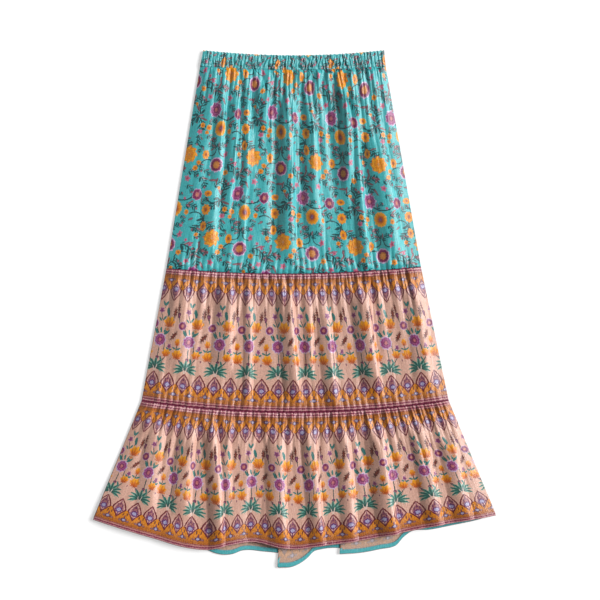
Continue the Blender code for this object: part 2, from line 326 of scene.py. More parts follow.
def gather_height(gather, run, depth, seed):
    """The sum of wide crests, creases half as wide, and fine puckers close under the seam."""
    wide = waves(gather.count, run, depth, gather.reach, 26.0, seed)
    wide = wide * (0.4 + 0.6 * smooth(depth / 8.0))
    count = gather.count * CREASES_TO_CREST + 0.4
    creases = waves(count, run, depth, gather.reach * 0.62, 40.0, seed + 2.0)
    fine = waves(gather.puckers, run, depth, PUCKER_REACH, 20.0, seed + 4.0)
    return gather.height * (CREST_SHARE * wide + CREASE_SHARE * creases + PUCKER_SHARE * fine)


def fold_height(x, y):
    """The sum of the front's broad folds, each with its own width on either flank.

    A ridge is one less the square of the distance from its line, and a hollow is a bell. Both rise
    and die out along the line by S-shaped steps, and the line bows by half a sine.
    """
    total = np.zeros_like(x)
    for fold in map(Fold._make, FRONT_FOLDS):
        along = (fold.top_y - y) / (fold.top_y - fold.end_y)
        bow = 3.0 * np.sin(np.pi * np.clip(along, 0.0, 1.0)) * math.sin(fold.top_x)
        ridge_x = fold.top_x + (fold.end_x - fold.top_x) * along + bow
        width = FOLD_WIDTHS * np.where(x < ridge_x, fold.left_width, fold.right_width)
        ends = smooth(along / 0.25) * smooth((1.0 - along) / 0.25 + 0.35)
        ends = np.where((along < 0.0) | (along > 1.12), 0.0, ends)
        share = np.abs(x - ridge_x) / width
        if fold.height > 0.0:
            reach = np.where(x < ridge_x, LEFT_REACH, RIGHT_REACH)
            section = np.maximum(1.0 - (share / reach) ** 2, 0.0) ** 1.1
        else:
            section = np.exp(-(share**1.6))
        total += FOLD_HEIGHTS * fold.height * ends * section
    return total


def crumple(x, y, seed):
    """Small long creases of worn cloth: products of slow sines, most of them up and down."""
    first = np.sin(x / 6.1 + 1.7 * np.sin(y / 83.0 + seed)) * np.sin(y / 47.0 + x / 71.0 + seed)
    second = np.sin(x / 9.7 - 1.3 * np.sin(y / 59.0) + 2.0 * seed) * np.sin(y / 31.0 - x / 43.0)
    third = np.sin(x / 15.3 + y / 88.0 + 3.0 * seed) * np.sin(y / 71.0 + 1.0)
    return 0.30 * first + 0.34 * second + 0.5 * third


def rounded_side(distance):
    """0 at the side and 1 from EDGE_ROLL inwards, like the round of a folded tube."""
    return np.sin(np.pi / 2.0 * np.clip(distance / EDGE_ROLL, 0.0, 1.0))


def back_top(distance, from_hem):
    """The level that the front lies on: the back's wall and relief, and the pleats at its hem."""
    over_hem = HEM_LIFT * smooth(1.15 - from_hem / HEM_ZONE)
    return SOLID_WALL + BACK_LIFT * smooth(distance / EDGE_ROLL) + over_hem


def from_side(across, seam):
    """The distance from the nearer side, by the seam's width."""
    return np.minimum(across, 1.0 - across) * (seam.right_x - seam.left_x)


def between(top, end, down):
    """Straight lines from the top's points to the end's."""
    return (first + (last - first) * down for first, last in zip(top, end))


def row_lengths(x, y, z):
    """Lengths along each row of a folded grid, from its left side."""
    steps = np.sqrt(np.diff(x, axis=1) ** 2 + np.diff(y, axis=1) ** 2 + np.diff(z, axis=1) ** 2)
    return np.concatenate([np.zeros((len(x), 1)), np.cumsum(steps, axis=1)], axis=1)


def even_print(x, y, z, start, width):
    """The print's place across each row, in proportion to the length along the folded cloth."""
    lengths = row_lengths(x, y, z)
    return start + lengths / lengths[:, -1:] * width


def marked_print(tier, x, y, z, flat_x, down):
    """The print's place across each row, stretched to meet marks that run straight down the panel.

    Beyond the panel's sides the lengths go on as the flat x does, so that marks there count too.
    """
    print_x, top_x, end_x = np.array(tier.marks, float).T
    rows = []
    for flat, length, share in zip(flat_x, row_lengths(x, y, z), down[:, 0]):
        reached_x = np.concatenate([[flat[0] - MARKS_BEYOND], flat, [flat[-1] + MARKS_BEYOND]])
        reached = np.concatenate([[-MARKS_BEYOND], length, [length[-1] + MARKS_BEYOND]])
        at = np.interp(top_x + (end_x - top_x) * share, reached_x, reached)
        rows.append(np.interp(length, at, print_x))
    return np.stack(rows)


def print_down(tier, across, down):
    """The way down the printed cloth from the print's start, less where the print lies lower.

    The lowest few millimetres are turned under at the hem.
    """
    length = BORDER_DEPTH if tier.slot == "border_print" else tier.cut_length
    if tier.bottom is None:
        length -= TURNED_UNDER
    lower = smooth((across - 0.3) / 0.62) * (0.6 + 0.4 * smooth(down / 0.25))
    return down * length - tier.drop - tier.lag * lower


def panel_grid(columns, rows):
    """Run and down, both from 0 to 1, with rows closer together at both ends."""
    down = np.linspace(0.0, 1.0, rows)
    down = 0.6 * down + 0.4 * smooth(down)
    return np.meshgrid(down, np.linspace(0.0, 1.0, columns), indexing="ij")


def front_surface(tier, columns, rows, strength):
    """Outer face of a front panel: the back's level, air, broad folds, gathers and small creases.

    The relief is pressed down at both seams and rounds off to the side edges. Crests lean to the
    right by a share of their height, so their right flank is the steeper one. Beside a seam a crest
    takes up more cloth, so the print lies nearer to the seam there.
    """
    down, run = panel_grid(columns, rows)
    across = uneven(run)
    last = tier.bottom is None
    top = seam_line(tier.top, across)
    end = front_hem_line(across) if last else seam_line(tier.bottom, across)
    flat_x, y = between(top, end, down)
    depth = top[1] - y
    above_end = y - end[1]
    distance = from_side(across, tier.top)
    folds = fold_height(flat_x, y)
    gathers = gather_height(tier.front_gather, run, depth, 1.0)
    gathers = gathers * (0.9 + 0.35 * smooth(across / 0.8 - 0.3))
    if not last:
        tugs = waves(tier.tugs, run, above_end, TUG_REACH, 20.0, 7.0)
        gathers = gathers + TUG_HEIGHT * tugs
    pressed = strength * rounded_side(distance) * (0.62 + 0.38 * smooth(depth / SEAM_REACH))
    pull = np.exp(-depth / PULL_REACH)
    if not last:
        pressed = pressed * (0.5 + 0.5 * smooth(above_end / SEAM_REACH))
        pull = pull - np.exp(-above_end / PULL_REACH)
    relief = np.maximum(PUFF + folds + gathers + crumple(flat_x, y, 0.4), 0.0) * pressed
    z = back_top(distance, y - front_hem_line(across)[1]) + GAP + SOLID_WALL + relief
    x = flat_x + (FOLD_LEAN * folds + GATHER_LEAN * gathers) * pressed
    print_x = marked_print(tier, x, y, z, flat_x, down)
    print_y = print_down(tier, across, down) + GATHER_PULL * gathers * pull
    return Surface(x, y, z, down, print_x, print_y)


def back_surface(tier, columns, rows):
    """Inner, upper face of a back panel: shallow gathers on a flat sheet, and pleats at the hem.

    The gathers are flat at the sides and towards the end, where the front's weight presses them.
    """
    down, run = panel_grid(columns, rows)
    across = uneven(run)
    top = seam_line(tier.top, across)
    if tier.bottom is None:
        end_x, end_y, lift = back_hem_path(run)
        pleated = smooth((down - 0.4) / 0.6)
        plain_x = HEM_LEFT_X + (HEM_RIGHT_X - HEM_LEFT_X) * run
        end = plain_x + (end_x - plain_x) * pleated, end_y
        lift = lift * pleated
    else:
        end = seam_line(tier.bottom, across)
        lift = 0.0
    x, y = between(top, end, down)
    gathers = gather_height(tier.back_gather, run, top[1] - y, 5.0)
    relief = np.maximum(gathers + 0.6 * crumple(x, y, 2.0) - 0.45, 0.0)
    relief = relief * smooth(from_side(across, tier.top) / EDGE_ROLL)
    z = relief * (1.0 - smooth(down / 0.9 - 0.2)) + lift + sheet_thickness()
    print_x = even_print(x, y, z, tier.marks[0].print_x, tier.cut_width)
    return Surface(x, y, z, down, print_x, print_down(tier, 0.0, down))


def waistband_surface(side, columns, rows):
    """Shirred casing: upright ribs of uneven height that wander, with finer puckers between them.

    The casing bulges between its edges, and its top edge is drawn up and down by the ribs.
    """
    down, run = panel_grid(columns, rows)
    across = uneven(run)
    x, y = between(seam_line(WAIST, across), seam_line(BAND, across), down)
    wander = 0.26 * np.sin(down * 4.0 + 47.0 * run) + 0.18 * np.sin(down * 9.0 + 131.0 * run)
    turns = SHIRRS.count * run + wander * np.sin(np.pi * run)
    number = np.floor(turns)
    rib = np.abs(np.sin(np.pi * turns)) ** 0.75 * (0.35 + 0.65 * scatter(number, 3.0))
    fine_turns = SHIRRS.puckers * uneven(run) + 0.3 * np.sin(down * 5.0 + 83.0 * run)
    own = scatter(np.floor(fine_turns), 9.0)
    fading = 0.3 + 1.2 * own * np.sin(3.0 * down + 9.0 * own) ** 2
    fine = np.abs(np.sin(np.pi * fine_turns)) * fading
    bulge = np.sin(np.pi * np.clip(down, 0.0, 1.0)) ** 0.6
    channel = 1.0 - CHANNEL_DEPTH * np.exp(-(((down - CHANNEL_SHARE) / CHANNEL_WIDTH) ** 2))
    relief = (SHIRRS.height * CREST_SHARE * rib + 1.2 * fine) * (0.7 + 0.3 * bulge) * channel
    distance = from_side(across, BAND)
    roll = smooth(distance / EDGE_ROLL)
    level = BAND_SOLID_WALL
    if side == "front":
        level = 2.0 * BAND_SOLID_WALL + SHIRRS.height * roll + GAP
    z = level + (relief - 0.4) * smooth(distance / 7.0) - 0.5 * (1.0 - bulge) * roll
    y = y + 0.6 * np.cos(2.0 * np.pi * turns) * (1.0 - down) ** 3
    print_x = even_print(x, y, z, TEAL_START, BAND_CUT_WIDTH)
    return Surface(x, y, z, down, print_x, (down - 1.0) * BAND_DEPTH - TIER_1.drop)


def grid_mesh(name, surface):
    """A mesh of quads over a surface's grid that faces up, with the print's places as a UV map."""
    rows, columns = surface.x.shape
    points = np.stack(surface[:3], axis=-1).reshape(-1, 3) * MM
    print_places = np.stack(surface[4:], axis=-1).reshape(-1, 2)
    corner = (np.arange(rows - 1)[:, None] * columns + np.arange(columns - 1)).ravel()
    quads = np.stack([corner, corner + columns, corner + columns + 1, corner + 1], axis=1)
    mesh = bpy.data.meshes.new(name)
    mesh.from_pydata(points, [], quads)
    layer = mesh.uv_layers.new(name=UV_NAME)
    layer.data.foreach_set("uv", print_places[quads.ravel()].ravel())
    mesh.shade_smooth()
    return mesh


def add_piece(name, mesh, materials, replaced, thickness=None):
    """Puts a mesh in the scene as a piece of the skirt, as a shell if a thickness is given."""
    piece = bpy.data.objects.new(name, mesh)
    bpy.context.scene.collection.objects.link(piece)
    for material in materials:
        mesh.materials.append(material)
    if thickness is not None:
        shell = piece.modifiers.new("cloth", "SOLIDIFY")
        shell.thickness = thickness * MM
        shell.offset = -1.0
        shell.material_offset = 1
        shell.material_offset_rim = 0
    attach(piece, BODY)
    if replaced:
        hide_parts(*replaced)
    return piece


def stitch_mesh(name, centres, ahead, length, radius):
    """A short thread for each centre: a six-sided tube with narrowed ends, laid along ahead.

    Its four rings stand at shares of its length, each with a share of its radius.
    """
    ahead = ahead / np.linalg.norm(ahead, axis=1, keepdims=True)
    side = np.cross((0.0, 0.0, 1.0), ahead)
    side = side / np.linalg.norm(side, axis=1, keepdims=True)
    top = np.cross(ahead, side)
    turn = np.arange(6) * math.pi / 3.0
    stations = np.array([[-0.5, 0.35], [-0.3, 1.0], [0.3, 1.0], [0.5, 0.35]])
    ring = side[:, None, None] * np.cos(turn)[:, None] + top[:, None, None] * np.sin(turn)[:, None]
    along = ahead[:, None, None] * (stations[:, 0] * length)[:, None, None]
    points = centres[:, None, None] + along + ring * (stations[:, 1] * radius)[:, None, None]
    station, spoke = np.meshgrid(np.arange(3), np.arange(6), indexing="ij")
    after = (spoke + 1) % 6
    ring_start = station * 6
    sides = np.stack(
        [ring_start + spoke, ring_start + after, ring_start + 6 + after, ring_start + 6 + spoke],
        axis=-1,
    ).reshape(-1, 4)
    ends = np.array([[3, 2, 1, 0], [5, 4, 3, 0], [18, 19, 20, 21], [18, 21, 22, 23]])
    each = np.concatenate([sides, ends])
    faces = (np.arange(len(centres))[:, None, None] * 24 + each).reshape(-1, 4)
    mesh = bpy.data.meshes.new(name)
    mesh.from_pydata(points.reshape(-1, 3) * MM, [], faces)
    mesh.shade_smooth()
    return mesh


# ---- Node helpers ----


def linear(code):
    """An sRGB hex colour as a linear one with full alpha."""
    shares = [int(code[place : place + 2], 16) / 255.0 for place in (1, 3, 5)]
    return (*(c / 12.92 if c <= 0.04045 else ((c + 0.055) / 1.055) ** 2.4 for c in shares), 1.0)


def fill(tree, node, inputs):
    """Links or sets a node's inputs by their sockets."""
    for socket, value in inputs.items():
        if isinstance(value, bpy.types.NodeSocket):
            tree.links.new(value, node.inputs[socket])
        else:
            node.inputs[socket].default_value = value


def add(tree, kind, *values, sockets=None, out=0, stops=(), stepped=False, **settings):
    """Adds a node with its settings, links or sets its inputs, and returns one of its outputs.

    The kind has the node's operation after a space, if it has one. Values go to the first inputs,
    or to those that sockets names. Stops are a colour ramp's, each a position and a hex colour.
    """
    kind, *operation = kind.split()
    made = tree.nodes.new("ShaderNode" + kind)
    for word in operation:
        made.operation = word
    for name, value in settings.items():
        setattr(made, name, value)
    fill(tree, made, dict(zip(sockets or range(len(values)), values)))
    while stops and len(made.color_ramp.elements) < len(stops):
        made.color_ramp.elements.new(1.0)
    if stepped:
        made.color_ramp.interpolation = "CONSTANT"
    for place, (position, code) in enumerate(stops):
        made.color_ramp.elements[place].position = position
        made.color_ramp.elements[place].color = linear(code)
    return made.outputs[out]


# Settings of the mix node that lays one colour over another where its mask is 1, and of the one
# that multiplies a colour by a shade. The sockets of a noise node's place, scale and detail, and of
# a bump node's strength, distance and height.
LAY = {"sockets": (0, 6, 7), "out": 2, "data_type": "RGBA"}
SHADE = {**LAY, "blend_type": "MULTIPLY"}
NOISE = (0, 2, 3)
BUMP = (0, 1, "Height")

# ---- The print, in millimetres across and down the flat cloth ----

TEAL = "#46BFC3"
STEM = "#005054"
LEAF = "#2E7872"
BROWN_LEAF = "#8E5C64"
SPRIG_BUD = "#9A5A6A"
BORDER_STEM = "#1E4642"
FAN_GAP = "#E6D2C6"
BARE_GROUND = "#7A2C24"
PEACH = "#E4B19D"
ORANGE_GROUND = "#EE9216"
PLUM = "#842A48"
HEM_TEAL = "#52BAC0"
FLOOR_WHITE = "#FDFDFD"
WHITE = (1.0, 1.0, 1.0, 1.0)

RING_FLOWER = (
    (0.0, "#E39A56"), (0.25, "#D98A3C"), (0.44, "#D0803E"), (0.50, "#9A4248"), (0.56, "#7C1A50"),
    (0.82, "#942C6C"), (0.88, "#DDBFDC"), (1.0, "#C9B4DA"),
)
ROSE = (
    (0.0, "#E3A890"), (0.10, "#C07A4A"), (0.18, "#FFB024"), (0.30, "#DA7008"), (0.40, "#FEA616"),
    (0.52, "#DE7608"), (0.64, "#FFB41E"), (0.84, "#FA9C08"), (1.0, "#DE8218"),
)
PURPLE_HEART = (
    (0.0, "#9A7894"), (0.17, "#80486C"), (0.30, "#A8562C"), (0.44, "#DA7418"), (0.66, "#FA9C10"),
    (0.84, "#FFAE1E"), (0.94, "#F4AE4C"), (1.0, "#EAC890"),
)
PEONY = (
    (0.0, "#DC9080"), (0.15, "#C86E70"), (0.26, "#BE5E7C"), (0.32, "#6E164C"), (0.42, "#802258"),
    (0.54, "#C468A0"), (0.64, "#84225E"), (0.76, "#B450A0"), (0.84, "#8E2868"), (0.90, "#D8BCDC"),
    (1.0, "#CFC0E4"),
)
SMALL_RING = (
    (0.0, "#DE9670"), (0.28, "#CF7670"), (0.42, "#9A4466"), (0.54, "#7A1A50"), (0.84, "#922E6C"),
    (0.92, "#C9A6C8"), (1.0, "#BFA8D0"),
)
MARIGOLD = (
    (0.0, "#A87048"), (0.22, "#A8562A"), (0.34, "#DC700A"), (0.60, "#FEA612"), (1.0, "#F2920C"),
)
BUTTON_FLOWER = ((0.0, "#B4501E"), (0.30, "#D86C14"), (0.55, "#FAA018"), (1.0, "#E4963C"))
BLOSSOM = ((0.0, "#9A2C4C"), (0.30, "#C2506E"), (0.60, "#D0708C"), (1.0, "#B87AA0"))
PURPLE_BLOOM = ((0.0, "#A0566A"), (0.30, "#74265A"), (0.65, "#9A467E"), (1.0, "#B078A6"))
BERRY = ((0.0, "#B88C92"), (0.45, "#9C6672"), (0.8, "#7A4452"), (1.0, "#4E4850"))
LILY = ((0.0, "#A8400A"), (0.32, "#D06004"), (0.55, "#EC8808"), (0.80, "#F8A40C"), (1.0, "#FAB01E"))
TRUMPET = ((0.0, "#C86A50"), (0.45, "#D8875A"), (1.0, "#E8B080"))
MEDALLION = (
    (0.0, "#8C80A8"), (0.16, "#BAB4D0"), (0.42, "#B4AACE"), (0.54, "#947EB6"), (0.62, "#5A1E5A"),
    (0.86, "#702E6A"), (1.0, "#94567A"),
)
SMALL_MEDALLION = ((0.0, "#CBC4D8"), (0.50, "#A494BC"), (0.64, "#5E3450"), (1.0, "#6E3A38"))
BUD = ((0.0, "#A85A78"), (0.5, "#7A2E58"), (1.0, "#552A44"))
BLADE = ((0.0, "#284844"), (0.35, "#306A5E"), (0.65, "#4A9484"), (1.0, "#A4CDB8"))
DROP_RINGS = ((0.0, "#AE6E6C"), (0.60, "#E0AEA0"), (0.76, "#A6585C"), (0.83, "#6C1822"))
STRIPES = ((0.0, PLUM), (0.20, "#D49A9A"), (0.34, "#9C4A5C"), (0.53, "#CE8E84"), (0.64, "#8E4040"))
CATKIN = ((0.0, "#9A4A28"), (0.35, "#7A2C20"), (0.7, "#5E2620"), (1.0, "#4A342C"))

# Where a motif sits on the repeat, half its width and height, and how far it is turned. Each row of
# numbers in the tables below is one place.
Place = namedtuple("Place", "x y width height turn", defaults=(0,))

# The teal cloth's repeat: rows 152.7 mm apart, each moved half of 135 mm along. Places are counted
# from a ring flower. Each kind of berry or flower has its places, petals, scallop, twist and its
# colours from the middle out.
TEAL_REPEAT = 135.0
TEAL_ROW = 152.7
TEAL_FLOWERS = (
    (((56.6, -5, 2.5, 6.6), (46, 4.5, 3.0, 3.0), (-67, 8, 2.8, 8.4, -70), (-69, -124, 2.6, 9.4, 90),
      (0, -119, 2.4, 8.4, -30), (-44, -90, 2.4, 6.6, 75), (34, -50, 2.2, 5.4, 60),
      (-50, -104, 2.2, 5.0, 30), (26, -74, 2.4, 5.6, -60), (-14, -48, 2.4, 5.4, 50),
      (70, 14, 2.2, 4.6, 30)), 3, 0.1, 0.0, BERRY),
    (((17.7, -21, 5.0, 7.4, 20), (15.5, -125, 6.6, 6.0, 50), (-30, -125, 6.0, 5.6),
      (-41.5, -59.3, 5.6, 5.4, 10), (40, -3.2, 4.6, 4.6, 30), (31, -11, 3.6, 3.6),
      (17.7, -36.8, 3.4, 3.6), (17, -87.7, 3.2, 3.2)), 5, 0.20, 0.0, BLOSSOM),
    (((48, -22, 4.4, 4.4), (21, 12.9, 5.8, 5.6), (-34.7, -2.6, 5.0, 4.8), (-40, 7.7, 5.6, 5.2, 20),
      (-37.4, -72, 5.2, 5.6), (-23.8, -68.4, 5.6, 6.0), (-26.5, -59, 4.2, 4.2),
      (23.8, -62.6, 4.4, 5.8), (-56.4, -111, 3.6, 3.6)), 6, 0.12, 0.0, BUTTON_FLOWER),
    (((60, -69, 8.6, 10.6), (59, -38, 6.2, 9.8), (-23, -18, 6.6, 9.2), (60, -99, 8.0, 6.2)),
     9, 0.07, 0.0, MARIGOLD),
    (((39, -96, 9.6, 11.4),), 7, 0.04, 0.0, SMALL_RING),
    (((-15, -102, 13.2, 15.0),), 9, 0.07, 5.0, PEONY),
    (((2, -67.5, 12.6, 14.6),), 13, 0.03, 0.0, PURPLE_HEART),
    (((-56, -16.8, 16.2, 16.6),), 8, 0.09, 7.0, ROSE),
    (((0, 0, 13.4, 14.4),), 9, 0.03, 0.0, RING_FLOWER),
)
# Curved stalks that join two flowers: part of a circle, its width and height being the radius
TEAL_STALKS = (
    (11, -98, 22, 14), (-64, -96, 14, 14), (-15, -28, 11, 12, -45), (14, -28, 11, 12, 45),
    (42, -50, 15, 13, 205), (28, 22, 14, 11, 160), (-18, 3, 13, 12, 150), (-32, -44, 12, 12, 60),
    (70, -56, 18, 12, 90),
)
# Leafy sprigs in five sets, so that neighbours never cut each other short
TEAL_SPRIGS = (
    ((37.4, 4.5, 17, 17, 38), (50.4, -40, 15, 15, 125), (-45, -106.5, 15, 15, -75),
     (31.6, -75, 12, 12, 15), (-12, -34, 10, 10, 205)),
    ((61.7, 10, 14, 14, -12), (-58.6, -81, 14, 14, 128), (6.7, -35, 10, 10, 330),
     (47.5, -120.5, 12, 12, 60), (3.6, -93.6, 8, 8, -35), (-62.5, -39.6, 12, 12, 38)),
    ((-41.6, -76, 16, 16, 68), (49, -26.7, 12, 12, 70), (-7, -40, 10, 10, 250),
     (-55.6, -120, 13, 13, -30), (24, -107, 9, 9, 50)),
    ((-18, -49.5, 9, 9, 30), (55, 25, 13, 13, 65), (-41, -45, 10, 10, 92), (-30, 5, 9, 9, 60),
     (72, -28, 12, 12, 100), (26, -136, 11, 11, 20)),
    ((19.5, -49, 8, 8, 75), (54, -85, 9, 9, -40), (-34, -28, 8, 8, 115), (-18, -80, 9, 9, -20),
     (-16, 14, 8, 8, 35)),
)

# The border cloth: a bouquet in each repeat, between two bands of drops half a repeat apart. Places
# are counted from the middle of the leaf fan across, and from the top edge of the band down, where
# it comes once. Sprays lie behind the leaves, and flowers before them. A flower whose last number
# is a foot is a cup.
BORDER_DEPTH = 252.0
BORDER_ONCE = 2000.0
BORDER_STEMS = (
    (0.6, 155, 0.9, 13, -2), (-22.8, 146, 0.9, 8), (-14, 171, 0.9, 7.5, -35),
    (-4.5, 91, 0.9, 9, -22), (10.5, 147, 0.8, 10, -6), (-8, 117, 0.9, 9, -28), (7, 88, 0.8, 7, -4),
    (21.5, 96, 0.8, 9, -6), (21, 151, 0.8, 6, 6), (-25, 92, 0.8, 7, -8), (12, 170, 0.9, 8, 35),
    (-1.6, 70, 0.7, 5, 2),
)
BORDER_LEAVES = (
    (-5.2, 65, 1.9, 5.0, -24), (0.2, 65.5, 2.4, 5.2, 28), (6.8, 80, 3.2, 8.0, -16),
    (-27, 147.5, 1.5, 4.6, -58), (-18.6, 147.5, 1.5, 4.6, 58), (22.6, 151, 1.5, 4.8, 64),
    (17.6, 149, 1.4, 3.8, -50), (1.4, 93, 1.6, 5.2, 28), (-7.5, 95, 1.5, 4.6, -46),
    (-11, 118, 2.4, 6.4, -34), (-1.5, 115, 2.0, 5.2, -14), (10.5, 118.5, 3.0, 7.2, 48),
    (6.0, 115, 1.8, 4.6, 20), (7.5, 168, 1.8, 4.6, -24),
)
BORDER_SPRAYS = (
    (((22.5, 81, 4.6, 12.0, 3), (-29.2, 72, 2.8, 12.5, -6), (26, 124.5, 4.8, 12.0, 33),
      (-28.5, 121, 2.6, 6.5, 14), (9.5, 176, 1.8, 4.5, 30)), 11, 0.24, 0.0, CATKIN),
    (((-26.8, 85, 3.8, 6.0, -6), (0.6, 167, 3.4, 4.2), (-13.5, 170, 1.8, 2.8, -20),
      (26.5, 168, 1.2, 2.2)), 3, 0.12, 0.0, BUD),
)
BORDER_FLOWERS = (
    (((20.2, 144, 4.0, 5.4), (-7.8, 78.5, 6.2, 6.0)), 5, 0.20, 0.0, PURPLE_BLOOM),
    (((-20.5, 158.5, 10.6, 9.8), (16.2, 157, 8.6, 8.0), (-23, 135.5, 5.6, 7.4),
      (13, 99.5, 12.2, 11.2)), 13, 0.13, 0.0, LILY, 0.9),
    (((11, 113, 4.6, 3.8),), 4, 0.14, 0.0, TRUMPET),
    (((-17.4, 104.5, 8.4, 8.2),), 7, 0.03, 0.0, SMALL_RING),
    (((-0.4, 133.5, 12.2, 12.8),), 9, 0.06, 5.0, PEONY),
)
LEAF_FAN = ((-0.7, 186.5, 23.0, 20.0),)
FAN_GAPS = ((-2.8, 187, 0.7, 6.5, -20), (1.8, 186, 0.8, 7.5, 14))

# The two edge bands, by the distance from the edge: its stripes, of which one is dashed, the orange
# ground that reddens as it bares, and the drops' tips and widest place
STRIPES_DEPTH = 15.0
STRIPES_END = 0.73
DASHED_MIDDLE = 0.43
DASHED_HALF = 0.10
DASH_BEAT = 2.2
DASH_HALF = 1.35
BARE_START = 9.0
BARE_END = 27.0
DROP_TIP = 21.0
DROP_MIDDLE = 39.0
DROP_END = 60.5
DROP_HALF_WIDTH = 13.6

# Their motifs, by the distance from the middle of a drop and from the edge, with petals, scallop
# and colours
BAND_MOTIFS = (
    ((0.0, 37.0, 8.0, 6.8), 8, 0.12, MEDALLION),
    ((4.2, 45.6, 1.7, 3.2), 2, 0.10, BUD),
    ((0.0, 49.0, 2.3, 3.6), 3, 0.20, BUD),
    ((0.0, 54.4, 1.1, 2.0), 3, 0.20, BUD),
    ((0.0, 28.0, 1.6, 2.2), 3, 0.20, BUD),
    ((14.6, 20.6, 5.6, 4.4), 6, 0.10, SMALL_MEDALLION),
    ((7.6, 19.4, 3.2, 1.7), 2, 0.10, BERRY),
    ((14.6, 26.8, 1.7, 2.8), 3, 0.20, BUD),
    ((11.0, 31.5, 1.3, 3.2), 2, 0.10, CATKIN),
)


def nearest(put, point, places, repeat, skew=0.0):
    """The vector from the closest of the repeated places, turned and scaled to it, and its length.

    The point is in a frame where the repeat is upright. Each difference is wrapped to one repeat,
    and two dot products undo the skew, turn it and divide it by the motif's half sizes.
    """
    half = (repeat[0] / 2.0, repeat[1] / 2.0, 1.0)
    best = best_length = None
    for place in (Place(*row) for row in places):
        turn = math.radians(place.turn)
        cos, sin = math.cos(turn), math.sin(turn)
        across = (cos / place.width, (sin + skew * cos) / place.width, 0.0)
        downward = (-sin / place.height, (cos - skew * sin) / place.height, 0.0)
        offset = (skew * place.y - place.x, -place.y, 0.0)
        moved = put("VectorMath ADD", point, offset)
        least = tuple(-size for size in half)
        wrapped = put("VectorMath WRAP", moved, half, least)
        x = put("VectorMath DOT_PRODUCT", wrapped, across, out=1)
        y = put("VectorMath DOT_PRODUCT", wrapped, downward, out=1)
        local = put("CombineXYZ", x, y)
        length = put("VectorMath LENGTH", local, out=1)
        if best is None:
            best, best_length = local, length
            continue
        closer = put("Math LESS_THAN", length, best_length)
        best = put("Mix", closer, best, local, sockets=(0, 4, 5), out=1, data_type="VECTOR")
        best_length = put("Math MINIMUM", length, best_length)
    return best, best_length


def flower(put, under, local, length, grain, petals, scallop, twist, stops, foot=0.0):
    """A round head: the ramp's colours by distance over a scalloped edge, one plus a cosine.

    Petals spread from the middle, or from a foot that far below it for a cup seen from the side.
    The grain moves the colours and the edge in and out, and lightens or darkens them.
    """
    from_foot = put("VectorMath ADD", local, (0.0, -foot, 0.0))
    x = put("SeparateXYZ", from_foot)
    angle = put("Math ARCTAN2", x, x.node.outputs[1])
    spun = put("Math MULTIPLY", length, twist)
    phase = put("Math MULTIPLY_ADD", angle, float(petals), spun)
    wave = put("Math COSINE", phase)
    edge = put("Math MULTIPLY_ADD", wave, scallop, 1.0 - scallop)
    share = put("Math DIVIDE", length, edge)
    share = put("Math MULTIPLY_ADD", grain, 0.06 + scallop / 2.0, share)
    level = share
    if foot > 0.0:
        level = put("VectorMath LENGTH", from_foot, out=1)
        level = put("Math DIVIDE", level, 1.0 + foot)
        level = put("Math MULTIPLY_ADD", wave, 0.07, level)
        level = put("Math MULTIPLY_ADD", grain, 0.12, level)
    colour = put("ValToRGB", level, stops=stops)
    shade = put("Math MULTIPLY_ADD", wave, 0.10, 0.97)
    shade = put("Math MULTIPLY_ADD", grain, -0.10, shade)
    colour = put("Mix", 1.0, colour, shade, **SHADE)
    inside = put("Math LESS_THAN", share, 1.0)
    return put("Mix", inside, under, colour, **LAY)


def sprig(put, under, local):
    """A bent stem with slanting leaves on either side, and a bud at its tip, from -1 to 1.

    The stem is a parabola. Leaves repeat along it by a fraction, moved half a step on one side.
    Each has its own length, by the sine of its number, and is as wide as a parabola of the distance
    from the stem. A few are brown.
    """
    x = put("SeparateXYZ", local)
    y = x.node.outputs[1]
    bow = put("Math MULTIPLY", x, x)
    side = put("Math MULTIPLY_ADD", bow, -0.34, y)
    side = put("Math ADD", side, 0.1)
    off = put("Math ABSOLUTE", side)
    half_step = put("Math GREATER_THAN", side, 0.0)
    half_step = put("Math MULTIPLY", half_step, 0.45)
    along = put("Math MULTIPLY_ADD", x, 2.3, half_step)
    slanted = put("Math MULTIPLY_ADD", off, -1.9, along)
    number = put("Math FLOOR", slanted)
    turned = put("Math MULTIPLY_ADD", number, 2.3, half_step)
    own = put("Math SINE", turned)
    reach = put("Math MULTIPLY_ADD", own, 0.16, 0.60)
    centred = put("Math SUBTRACT", slanted, number)
    from_leaf = put("Math SUBTRACT", centred, 0.5)
    from_leaf = put("Math ABSOLUTE", from_leaf)
    room = put("Math SUBTRACT", reach, off)
    belly = put("Math MULTIPLY", off, room)
    leaf_width = put("Math MULTIPLY", belly, 3.4)
    leaf = put("Math LESS_THAN", from_leaf, leaf_width)
    stem = put("Math LESS_THAN", off, 0.072)
    ends = put("Math COMPARE", x, 0.0, 0.92)
    leaf = put("Math MULTIPLY", leaf, ends)
    stem = put("Math MULTIPLY", stem, ends)
    brown = put("Math GREATER_THAN", own, 0.94)
    colour = put("Mix", brown, linear(STEM), linear(BROWN_LEAF), **LAY)
    colour = put("Mix", leaf, under, colour, **LAY)
    colour = put("Mix", stem, colour, linear(STEM), **LAY)
    tip = put("VectorMath DISTANCE", local, (0.92, 0.19, 0.0), out=1)
    bud = put("Math LESS_THAN", tip, 0.19)
    return put("Mix", bud, colour, linear(SPRIG_BUD), **LAY)


def stalk(put, under, local, length):
    """Part of a unit circle's line, where the local y is above a third."""
    off = put("Math COMPARE", length, 1.0, 0.088)
    y = put("SeparateXYZ", local, out=1)
    lower = put("Math GREATER_THAN", y, 0.3)
    mask = put("Math MULTIPLY", off, lower)
    return put("Mix", mask, under, linear(STEM), **LAY)


